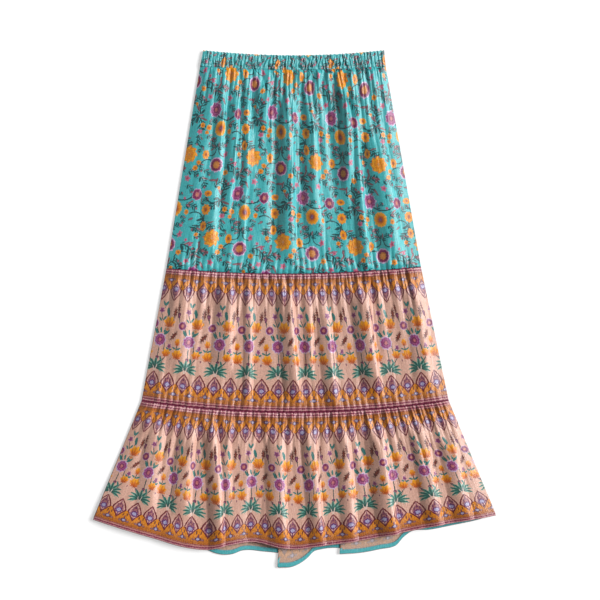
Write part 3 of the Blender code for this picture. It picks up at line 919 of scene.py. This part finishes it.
def leaf_fan(put, under, local, length):
    """Slender blades that spread from a point, dark along the rib, with light edges.

    The angle from straight up, bent by the distance, is wrapped to one blade, and its product with
    the distance is the way from the blade's middle. That is divided by a half width that tapers as
    one less the sixth power of the distance.
    """
    x = put("SeparateXYZ", local)
    y = x.node.outputs[1]
    up = put("Math MULTIPLY", y, -1.0)
    angle = put("Math ARCTAN2", x, up)
    curled = put("Math MULTIPLY", x, length)
    curled = put("Math MULTIPLY_ADD", curled, -0.3, angle)
    blade = put("Math WRAP", curled, 0.21, -0.21)
    off = put("Math ABSOLUTE", blade)
    off = put("Math MULTIPLY", off, length)
    blunt = put("Math POWER", length, 6.0)
    taper = put("Math MULTIPLY_ADD", blunt, -0.125, 0.125)
    share = put("Math DIVIDE", off, taper)
    wide = put("Math LESS_THAN", share, 1.0)
    spread = put("Math COMPARE", curled, 0.0, 2.0)
    mask = put("Math MULTIPLY", wide, spread)
    inside = put("Math LESS_THAN", length, 1.0)
    mask = put("Math MULTIPLY", mask, inside)
    colour = put("ValToRGB", share, stops=BLADE)
    return put("Mix", mask, under, colour, **LAY)


def oval(put, under, length, code):
    """A plain oval of one colour."""
    inside = put("Math LESS_THAN", length, 1.0)
    return put("Mix", inside, under, linear(code), **LAY)


def drawn_by_hand(put, cloth):
    """The cloth's place, moved by up to 1 mm so that outlines waver, and a finer grain."""
    noise = put("TexNoise", cloth, 0.3, 1.0, sockets=NOISE, out=1)
    wander = put("VectorMath MULTIPLY_ADD", noise, (2.4, 2.4, 0.0), (-1.2, -1.2, 0.0))
    grain = put("TexNoise", cloth, 0.5, 1.0, sockets=NOISE)
    grain = put("MapRange", grain, 0.3, 0.7, -1.0, 1.0)
    return put("VectorMath ADD", cloth, wander), grain


def teal_floral(put, cloth):
    """The teal cloth's colour at a place: stalks, sprigs, berries and flowers over a ground."""
    cloth, grain = drawn_by_hand(put, cloth)
    skew = TEAL_REPEAT / 2.0 / TEAL_ROW
    repeat = (TEAL_REPEAT, TEAL_ROW)
    upright = put("VectorMath DOT_PRODUCT", cloth, (1.0, -skew, 0.0), out=1)
    down = put("SeparateXYZ", cloth, out=1)
    point = put("CombineXYZ", upright, down)
    colour = tuple(bpy.context.scene.skirt_colours.teal)
    colour = stalk(put, colour, *nearest(put, point, TEAL_STALKS, repeat, skew))
    for places in TEAL_SPRIGS:
        colour = sprig(put, colour, nearest(put, point, places, repeat, skew)[0])
    for places, *shape in TEAL_FLOWERS:
        colour = flower(put, colour, *nearest(put, point, places, repeat, skew), grain, *shape)
    return colour


def border_bands(put, under, cloth, grain):
    """The two edge bands: stripes, an orange ground with medallions, and a row of pointed drops.

    Everything is a function of the distance to the nearer edge and of the distance across from the
    middle of a drop. The upper band is moved half a drop along.
    """
    colours = bpy.context.scene.skirt_colours
    pitch = BORDER_REPEAT / 2.0
    u = put("SeparateXYZ", cloth)
    v = u.node.outputs[1]
    below = put("Math SUBTRACT", BORDER_DEPTH, v)
    edge = put("Math MINIMUM", v, below)
    upper = put("Math LESS_THAN", v, below)
    moved = put("Math MULTIPLY_ADD", upper, pitch / 2.0, u)
    x = put("Math WRAP", moved, pitch / 2.0, -pitch / 2.0)
    off = put("Math ABSOLUTE", x)
    low = put("Math LESS_THAN", edge, DROP_MIDDLE)
    colour = put("Mix", low, under, tuple(colours.orange), **LAY)
    bare = put("MapRange", edge, BARE_START, BARE_END, 0.76, 0.12)
    bare = put("Math MULTIPLY_ADD", grain, 0.3, bare)
    bare = put("Math MULTIPLY", bare, low)
    colour = put("Mix", bare, colour, linear(BARE_GROUND), **LAY)

    # A drop's half width: a power of the way in from its outer tip, then one less a power
    rise = put("MapRange", edge, DROP_TIP, DROP_MIDDLE)
    rise = put("Math POWER", rise, 1.25)
    past_middle = put("MapRange", edge, DROP_MIDDLE, DROP_END)
    fall = put("Math POWER", past_middle, 1.5)
    fall = put("Math SUBTRACT", 1.0, fall)
    half = put("Math MULTIPLY", rise, fall)
    past = put("Math MULTIPLY_ADD", half, -DROP_HALF_WIDTH, off)
    inside = put("Math LESS_THAN", past, 0.0)
    depth = put("MapRange", past, -DROP_HALF_WIDTH, 0.0)
    body = put("ValToRGB", depth, stops=DROP_RINGS, stepped=True)
    colour = put("Mix", inside, colour, body, **LAY)

    for row, petals, scallop, stops in BAND_MOTIFS:
        place = Place(*row)
        offset = (-place.x / place.width, -place.y / place.height, 0.0)
        scale = (1.0 / place.width, 1.0 / place.height, 0.0)
        local = put("CombineXYZ", off, edge)
        local = put("VectorMath MULTIPLY_ADD", local, scale, offset)
        length = put("VectorMath LENGTH", local, out=1)
        colour = flower(put, colour, local, length, grain, petals, scallop, 0.0, stops)

    # Stripes beside the edge, one of them with a dash every 4.4 mm
    level = put("MapRange", edge, 0.0, STRIPES_DEPTH)
    bands = put("ValToRGB", level, stops=STRIPES, stepped=True)
    beat = put("Math PINGPONG", u, DASH_BEAT)
    dash = put("Math LESS_THAN", beat, DASH_HALF)
    dashed = put("Math COMPARE", level, DASHED_MIDDLE, DASHED_HALF)
    dash = put("Math MULTIPLY", dash, dashed)
    bands = put("Mix", dash, bands, tuple(colours.plum), **LAY)
    near_edge = put("Math LESS_THAN", level, STRIPES_END)
    return put("Mix", near_edge, colour, bands, **LAY)


def border_print(put, cloth):
    """The border cloth's colour at a place: bouquets on peach between two mirrored edge bands."""
    cloth, grain = drawn_by_hand(put, cloth)
    repeat = (BORDER_REPEAT, BORDER_ONCE)
    colour = border_bands(put, tuple(bpy.context.scene.skirt_colours.peach), cloth, grain)
    colour = oval(put, colour, nearest(put, cloth, BORDER_STEMS, repeat)[1], BORDER_STEM)
    for places, *shape in BORDER_SPRAYS:
        colour = flower(put, colour, *nearest(put, cloth, places, repeat), grain, *shape)
    colour = oval(put, colour, nearest(put, cloth, BORDER_LEAVES, repeat)[1], LEAF)
    colour = leaf_fan(put, colour, *nearest(put, cloth, LEAF_FAN, repeat))
    colour = oval(put, colour, nearest(put, cloth, FAN_GAPS, repeat)[1], FAN_GAP)
    for places, *shape in BORDER_FLOWERS:
        colour = flower(put, colour, *nearest(put, cloth, places, repeat), grain, *shape)
    return colour


def print_group(name, draw):
    """A node group from a place on the cloth to the colour that draw gives it there."""
    tree = bpy.data.node_groups.new(name, "ShaderNodeTree")
    tree.interface.new_socket("Cloth", in_out="INPUT", socket_type="NodeSocketVector")
    tree.interface.new_socket("Color", in_out="OUTPUT", socket_type="NodeSocketColor")
    colour = draw(partial(add, tree), tree.nodes.new("NodeGroupInput").outputs[0])
    tree.links.new(colour, tree.nodes.new("NodeGroupOutput").inputs[0])
    return tree


# ---- Materials ----


def new_material(name):
    """An empty material's node tree, its shader, and the function that adds nodes to it."""
    material = bpy.data.materials.new(name)
    material.use_nodes = True
    tree = material.node_tree
    return material, tree, tree.nodes["Principled BSDF"], partial(add, tree)


# The turn of the weave's sine in a millimetre, for a thread every 1.1 mm
THREAD_TURN = 5.7


def viscose(name, design, fade=0.0, wrong_side="#E9DCD0"):
    """Viscose challis, spun yarn in a plain weave, printed on one side and washed.

    It is limp, with the soft sheen of smooth fibres where a fold turns to the light. Its weave has
    about 28 threads a centimetre, too fine to show, so it is drawn at 1.1 mm. Upright crinkles left
    by the gathers, 1.8 mm wide and 14 mm long, break up the light. The wash has dulled the print
    unevenly, in blots of 3 mm. On the wrong side it shows through pale.
    """
    material, tree, shader, put = new_material(name)
    cloth = put("UVMap", uv_map=UV_NAME)
    colour = design
    if isinstance(design, bpy.types.NodeTree):
        colour = put("Group", cloth, node_tree=design)
    if fade > 0.0:
        colour = put("Mix", fade, colour, linear(wrong_side), **LAY)
    wash = put("TexNoise", cloth, 0.35, 3.0, sockets=NOISE)
    wash = put("MapRange", wash, 0.3, 0.7, 0.55, 0.745)
    colour = put("Mix", 1.0, colour, wash, **SHADE)

    stretched = put("VectorMath MULTIPLY", cloth, (0.55, 0.07, 1.0))
    crinkle = put("TexNoise", stretched, 1.0, 2.0, sockets=NOISE)
    threads = put("VectorMath MULTIPLY", cloth, (THREAD_TURN, THREAD_TURN, 0.0))
    weave = put("VectorMath SINE", threads)
    weave = put("VectorMath DOT_PRODUCT", weave, (0.07, 0.07, 0.0), out=1)
    height = put("Math ADD", crinkle, weave)
    bump = put("Bump", 0.6, 0.0009, height, sockets=BUMP)
    rough = put("MapRange", crinkle, 0.3, 0.7, 0.26, 0.40)
    fill(tree, shader, {
        "Base Color": colour, "Normal": bump, "Roughness": rough, "IOR": 1.53,
        "Specular IOR Level": 0.57, "Sheen Weight": 0.05, "Sheen Roughness": 0.4,
    })
    return material


def spun_polyester(name, code):
    """Spun polyester sewing thread: matt, slightly hairy, with a twist every 0.8 mm.

    The twist is drawn as slanting bands of painted highlight along the object's own coordinates.
    """
    material, tree, shader, put = new_material(name)
    place = put("TexCoord", out=3)
    twist = put("TexWave", place, 1250.0 / math.tau, bands_direction="DIAGONAL")
    # The pale pink stop is a painted highlight on each turn of the twist, mixed in at a quarter.
    shade = put("ValToRGB", twist, stops=((0.0, code), (1.0, "#F2E6E6")))
    shade = put("Mix", 0.25, linear(code), shade, **LAY)
    fill(tree, shader, {"Base Color": shade, "Roughness": 0.7, "IOR": 1.58})
    return material


def opal_sheet(name, colour):
    """Opal acrylic over a light table: it glows softly, so that shadows stay faint.

    Its matt top is uneven every 5.6 mm.
    """
    material, tree, shader, put = new_material(name)
    place = put("TexCoord", out=3)
    nap = put("TexNoise", place, 180.0, 3.0, sockets=NOISE)
    bump = put("Bump", 0.05, 0.0002, nap, sockets=BUMP)
    fill(tree, shader, {
        "Normal": bump, "Base Color": (*(0.5 * share for share in colour[:3]), 1.0),
        "Emission Color": WHITE, "Emission Strength": 0.47, "Roughness": 0.8,
    })
    return material


@cache
def print_of(key):
    """The named print's node group, made once."""
    return print_group(*{
        "teal_floral": ("teal floral print", teal_floral),
        "border_print": ("border print", border_print),
    }[key])


@cache
def material_of(key):
    """The named finish, made once."""
    colours = bpy.context.scene.skirt_colours
    return {
        "teal_floral": lambda: viscose("teal_floral_challis", print_of("teal_floral")),
        "teal_floral_inside": lambda: viscose(
            "teal_floral_challis_inside", print_of("teal_floral"), 0.55, "#C9E4E0"
        ),
        "border_print": lambda: viscose("border_print_challis", print_of("border_print")),
        "border_print_inside": lambda: viscose(
            "border_print_challis_inside", print_of("border_print"), 0.46
        ),
        "turned_up_hem": lambda: viscose("teal_challis_turned_up", tuple(colours.turned_up)),
        "hem_thread": lambda: spun_polyester("magenta_spun_polyester", "#8A3A62"),
        "band_thread": lambda: spun_polyester("teal_spun_polyester", "#4FB4B4"),
        "floor": lambda: opal_sheet("opal_acrylic", tuple(colours.floor)),
    }[key]()


# ---- Settings ----


class SkirtSizes(bpy.types.PropertyGroup):
    """Sizes that a user may change before building the cloth."""

    thickness: bpy.props.FloatProperty(
        name="Cloth thickness", description="Thickness of the cloth shell", default=0.0006,
        min=0.0002, max=0.0015, unit="LENGTH", precision=4,
    )
    strength: bpy.props.FloatProperty(
        name="Fold height", description="Share of the folds' full height", default=1.0, min=0.0,
        max=1.2, subtype="FACTOR",
    )
    fineness: bpy.props.FloatProperty(
        name="Grid fineness", description="Share of the full number of grid columns and rows",
        default=1.0, min=0.2, max=1.0, subtype="FACTOR",
    )


def colour_property(name, description, code):
    """A property for a colour, whose default is a hex colour."""
    return bpy.props.FloatVectorProperty(
        name=name, description=description, default=linear(code), size=4, min=0.0, max=1.0,
        subtype="COLOR",
    )


class SkirtColours(bpy.types.PropertyGroup):
    """The main colours of the cloth and of the floor that it lies on."""

    teal: colour_property("Teal ground", "Ground of the upper tier's print", TEAL)
    peach: colour_property("Peach ground", "Ground behind the bouquets", PEACH)
    orange: colour_property("Orange ground", "Ground of the two edge bands", ORANGE_GROUND)
    plum: colour_property("Plum dashes", "Dashes of the stripes beside the edges", PLUM)
    turned_up: colour_property(
        "Turned-up hem", "Edge turned up on the inside of the back hem", HEM_TEAL
    )
    floor: colour_property("Floor", "Opal sheet under the skirt", FLOOR_WHITE)


class StageSettings(bpy.types.PropertyGroup):
    """Camera and light."""

    view_width: bpy.props.FloatProperty(
        name="View width", description="Width of what the camera sees on the surface",
        default=1.104, unit="LENGTH",
    )
    camera_height: bpy.props.FloatProperty(
        name="Camera height", description="Height of the camera over the surface", default=3.0,
        unit="LENGTH",
    )
    key_strength: bpy.props.FloatProperty(
        name="Key light", description="Strength of the broad light at the right, in W/m2",
        default=5.7,
    )
    key_width: bpy.props.FloatProperty(
        name="Key width", description="Angle that the broad light fills",
        default=math.radians(34.0), unit="ROTATION", subtype="ANGLE",
    )
    fill_power: bpy.props.FloatProperty(
        name="Fill light", description="Power of the light at the left", default=7.6, unit="POWER",
    )
    daylight: bpy.props.FloatProperty(
        name="Surrounding light", description="Strength of the even light all round", default=0.155,
    )


def sheet_thickness():
    """The cloth's thickness in millimetres."""
    return bpy.context.scene.skirt_sizes.thickness / MM


# ---- Operators ----

# The share of a front's rows that its back has, and the grids of the smaller pieces. The turn-up is
# cut from its own grid, every third row and two columns short of each side.
BACK_ROWS = 0.6
BAND_ROWS = 26
BAND_COLUMNS = {"back": 300, "front": 640}
HEM_GRID = (420, 400)
HEM_ROW_STEP = 3
HEM_INSET = 2
BAND_THICKNESS = 0.9
TURNUP_THICKNESS = 0.4
TURNUP_LIFT = 0.45

# Stitches: the hem rows' way up from their edges, the grids that they follow, and one stitch. A row
# has its share of the way down its panel, and how far it stands over the cloth's face.
FRONT_HEM_UP = 8.0
BACK_HEM_UP = 7.5
STITCH_COLUMNS = 900
STITCH_GRID_ROWS = {"front": 160, "back": 400, "band": 22}
STITCH_PITCH = 3.1
STITCH_LENGTH = 2.2
STITCH_RADIUS = 0.2
STITCH_LOOK = 0.8
STITCH_END = 3.0
StitchRow = namedtuple("StitchRow", "name share thread slot lift")
STITCH_ROWS = (
    StitchRow(
        "front_hem_stitches", 1.0 - FRONT_HEM_UP / BORDER_DEPTH, "hem_thread", "border_print", 0.05,
    ),
    StitchRow(
        "back_hem_stitches", 1.0 - BACK_HEM_UP / TIER_3.cut_length, "hem_thread", "turned_up_hem",
        0.75,
    ),
    StitchRow("waistband_stitches", CHANNEL_SHARE, "band_thread", "teal_floral", 0.05),
)

# The stage, in metres: half the floor's side and its level, each light's place, and the middle of
# the view and the level at which it has its width. The sensor is in millimetres.
FLOOR_HALF = 30.0
FLOOR_LEVEL = -0.0004
KEY_PLACE = (0.86, 0.25, 0.62)
FILL_PLACE = (-1.9, 0.3, 1.6)
FILL_SIZE = 1.6
SENSOR = 36.0
CLOTH_LEVEL = 0.008
VIEW_CENTRE = (10.1 * MM, 16.6 * MM)


def build_tier(tier):
    """Builds the back and the front panel of a tier, the back one on a coarser grid."""
    sizes = bpy.context.scene.skirt_sizes
    columns = int(tier.grid[0] * sizes.fineness)
    rows = int(tier.grid[1] * sizes.fineness)
    outside, inside = material_of(tier.slot), material_of(tier.slot + "_inside")
    for side, surface, materials in (
        ("back", back_surface(tier, columns // 2, int(rows * BACK_ROWS)), (inside, outside)),
        ("front", front_surface(tier, columns, rows, sizes.strength), (outside, inside)),
    ):
        name = f"{tier.name}_{side}_cloth"
        mesh = grid_mesh(name, surface)
        replaced = (f"{tier.name}_{side}",)
        piece = add_piece(name, mesh, materials, replaced, sheet_thickness())


class SKIRT_OT_waistband(bpy.types.Operator):
    """Build the shirred elastic casing, front and back"""

    bl_idname = "skirt.waistband"
    bl_label = "Waistband"

    def execute(self, context):
        outside, inside = material_of("teal_floral"), material_of("teal_floral_inside")
        for side, materials in (("back", (inside, outside)), ("front", (outside, inside))):
            surface = waistband_surface(side, BAND_COLUMNS[side], BAND_ROWS)
            name = f"waistband_{side}_cloth"
            mesh = grid_mesh(name, surface)
            replaced = (f"waistband_{side}",)
            piece = add_piece(name, mesh, materials, replaced, BAND_THICKNESS)
        return {"FINISHED"}


class SKIRT_OT_upper_tier(bpy.types.Operator):
    """Build the teal floral upper tier, front and back"""

    bl_idname = "skirt.upper_tier"
    bl_label = "Upper tier"

    def execute(self, context):
        build_tier(TIER_1)
        return {"FINISHED"}


class SKIRT_OT_middle_tier(bpy.types.Operator):
    """Build the border-printed middle tier, front and back"""

    bl_idname = "skirt.middle_tier"
    bl_label = "Middle tier"

    def execute(self, context):
        build_tier(TIER_2)
        return {"FINISHED"}


class SKIRT_OT_lower_tier(bpy.types.Operator):
    """Build the border-printed lower tier, front and back"""

    bl_idname = "skirt.lower_tier"
    bl_label = "Lower tier"

    def execute(self, context):
        build_tier(TIER_3)
        return {"FINISHED"}


class SKIRT_OT_turned_up_hem(bpy.types.Operator):
    """Build the turned-up edge on the inside of the back hem"""

    bl_idname = "skirt.turned_up_hem"
    bl_label = "Turned-up hem"

    def execute(self, context):
        whole = back_surface(TIER_3, *HEM_GRID)
        hem_share = 1.0 - TURNUP_HEIGHT / TIER_3.cut_length
        first = int(np.searchsorted(whole.down[:, 0], hem_share))
        inner = slice(HEM_INSET, -HEM_INSET)
        edge = Surface(*(part[first::HEM_ROW_STEP, inner] for part in whole))
        edge = edge._replace(z=edge.z + TURNUP_LIFT + GAP)
        mesh = grid_mesh("hem_turnup_cloth", edge)
        materials = (material_of("turned_up_hem"),) * 2
        piece = add_piece(
            "hem_turnup_cloth", mesh, materials, ("hem_turnup_back",),
            TURNUP_THICKNESS,
        )
        return {"FINISHED"}


class SKIRT_OT_stitching(bpy.types.Operator):
    """Sew the rows of stitches along the waistband and both hems"""

    bl_idname = "skirt.stitching"
    bl_label = "Stitching"

    def execute(self, context):
        rows = STITCH_GRID_ROWS
        strength = context.scene.skirt_sizes.strength
        surfaces = (
            front_surface(TIER_3, STITCH_COLUMNS, rows["front"], strength),
            back_surface(TIER_3, STITCH_COLUMNS, rows["back"]),
            waistband_surface("front", STITCH_COLUMNS, rows["band"]),
        )
        for line, surface in zip(STITCH_ROWS, surfaces):
            row = int(np.argmin(np.abs(surface.down[:, 0] - line.share)))
            path = np.stack([part[row] for part in surface[:3]], axis=-1)
            path[:, 2] += line.lift
            steps = np.linalg.norm(np.diff(path, axis=0), axis=1)
            gone = np.concatenate([[0.0], np.cumsum(steps)])
            at = np.arange(STITCH_END, gone[-1] - STITCH_END, STITCH_PITCH)
            centres, ahead = (
                np.stack([np.interp(place, gone, values) for values in path.T], axis=-1)
                for place in (at, at + STITCH_LOOK)
            )
            mesh = stitch_mesh(line.name, centres, ahead - centres, STITCH_LENGTH, STITCH_RADIUS)
            add_piece(line.name, mesh, (material_of(line.thread),), ())
        return {"FINISHED"}


class SKIRT_OT_stage(bpy.types.Operator):
    """Set the pale floor, the soft lights and the camera that looks straight down"""

    bl_idname = "skirt.stage"
    bl_label = "Stage"

    def execute(self, context):
        scene = context.scene
        settings = scene.skirt_stage
        mesh = bpy.data.meshes.new("floor")
        sides = ((-1.0, -1.0), (1.0, -1.0), (1.0, 1.0), (-1.0, 1.0))
        corners = [(FLOOR_HALF * x, FLOOR_HALF * y, FLOOR_LEVEL) for x, y in sides]
        mesh.from_pydata(corners, [], [(0, 1, 2, 3)])
        mesh.materials.append(material_of("floor"))
        floor = bpy.data.objects.new("floor", mesh)
        scene.collection.objects.link(floor)

        key = bpy.data.lights.new("key_light", "SUN")
        key.energy = settings.key_strength
        key.angle = settings.key_width
        fill_light = bpy.data.lights.new("fill_light", "AREA")
        fill_light.energy = settings.fill_power
        fill_light.size = FILL_SIZE
        # Both lights face the middle of the floor
        for lamp, (x, y, z) in ((key, KEY_PLACE), (fill_light, FILL_PLACE)):
            light = bpy.data.objects.new(lamp.name, lamp)
            light.location = (x, y, z)
            light.rotation_euler = (math.atan2(math.hypot(x, y), z), 0.0, math.atan2(x, -y))
            scene.collection.objects.link(light)

        world = bpy.data.worlds.new("studio")
        world.use_nodes = True
        sky = world.node_tree.nodes["Background"]
        fill(world.node_tree, sky, {"Color": WHITE, "Strength": settings.daylight})
        scene.world = world
        scene.view_settings.view_transform = "Standard"

        lens = bpy.data.cameras.new("camera")
        lens.sensor_width = SENSOR
        lens.lens = SENSOR * (settings.camera_height - CLOTH_LEVEL) / settings.view_width
        camera = bpy.data.objects.new("camera", lens)
        camera.location = (*VIEW_CENTRE, settings.camera_height)
        scene.collection.objects.link(camera)
        scene.camera = camera
        return {"FINISHED"}


OPERATORS = (
    SKIRT_OT_waistband,
    SKIRT_OT_upper_tier,
    SKIRT_OT_middle_tier,
    SKIRT_OT_lower_tier,
    SKIRT_OT_turned_up_hem,
    SKIRT_OT_stitching,
    SKIRT_OT_stage,
)


class SKIRT_PT_panel(bpy.types.Panel):
    """Lists the skirt's sizes and the steps that build it."""

    bl_label = "Tiered maxi skirt"
    bl_idname = "SKIRT_PT_panel"
    bl_space_type = "VIEW_3D"
    bl_region_type = "UI"
    bl_category = "Skirt"

    def draw(self, context):
        scene = context.scene
        for group in (scene.skirt_sizes, scene.skirt_colours, scene.skirt_stage):
            for name in group.__annotations__:
                self.layout.prop(group, name)
        for operator in OPERATORS:
            self.layout.operator(operator.bl_idname)


CLASSES = (SkirtSizes, SkirtColours, StageSettings, *OPERATORS, SKIRT_PT_panel)


def register():
    for made in CLASSES:
        bpy.utils.register_class(made)
    bpy.types.Scene.skirt_sizes = bpy.props.PointerProperty(type=SkirtSizes)
    bpy.types.Scene.skirt_colours = bpy.props.PointerProperty(type=SkirtColours)
    bpy.types.Scene.skirt_stage = bpy.props.PointerProperty(type=StageSettings)


def unregister():
    del bpy.types.Scene.skirt_stage
    del bpy.types.Scene.skirt_colours
    del bpy.types.Scene.skirt_sizes
    for made in reversed(CLASSES):
        bpy.utils.unregister_class(made)


def main():
    register()
    for operator in OPERATORS:
        area, name = operator.bl_idname.split(".")
        getattr(getattr(bpy.ops, area), name)()


if __name__ == "__main__":
    main()
